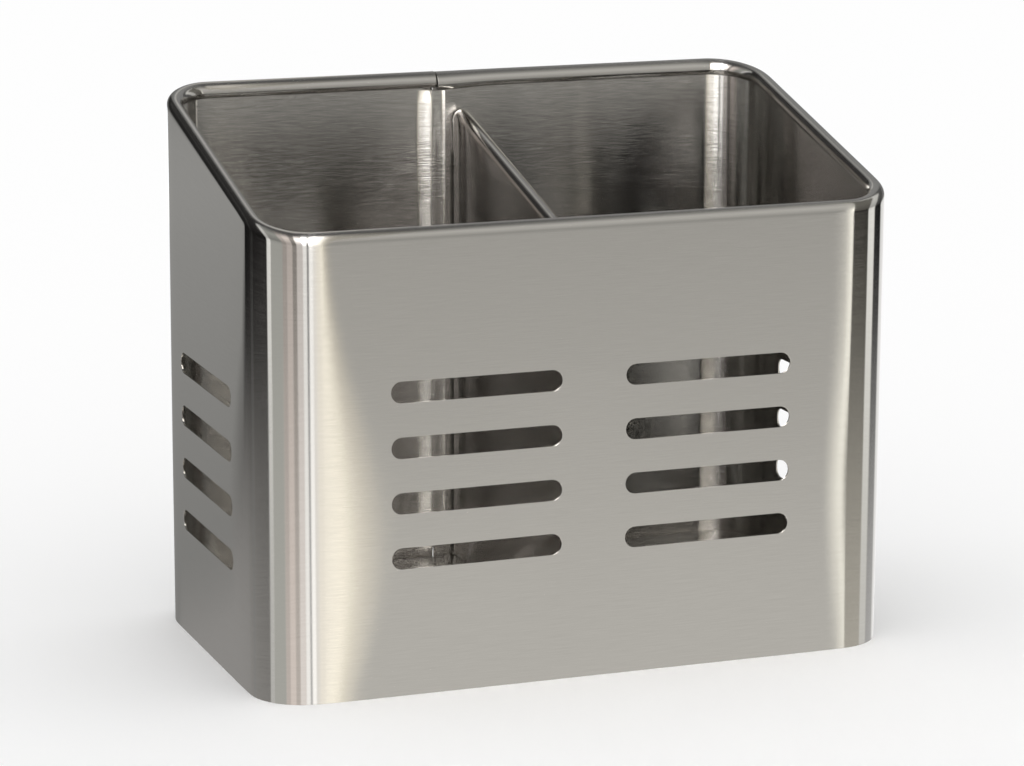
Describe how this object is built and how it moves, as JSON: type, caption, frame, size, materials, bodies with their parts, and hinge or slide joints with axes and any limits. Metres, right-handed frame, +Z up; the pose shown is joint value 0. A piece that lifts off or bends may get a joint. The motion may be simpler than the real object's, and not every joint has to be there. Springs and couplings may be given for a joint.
{
  "type": "cutlery holder",
  "caption": "Rectangular cutlery holder in brushed stainless sheet with rounded corners, a sloping rolled rim, round-ended vent slots and a fixed divider that makes two compartments.",
  "frame": {"origin": "middle of the standing edge, on the surface that the holder stands on", "axes": "+X along the long front wall to the viewer's right, +Y from the low front wall to the high back wall, +Z up"},
  "size_m": [0.181, 0.103, 0.1506],
  "materials": {
    "band_steel": "brushed along the walls, polished at the corners and on the rolled rim",
    "divider_steel": "brushed, duller than the outside",
    "floor_steel": "mill finish"
  },
  "bodies": {
    "root": {"body_band": "band_steel", "divider": "divider_steel", "floor_plate": "floor_steel"}
  },
  "joints": []
}
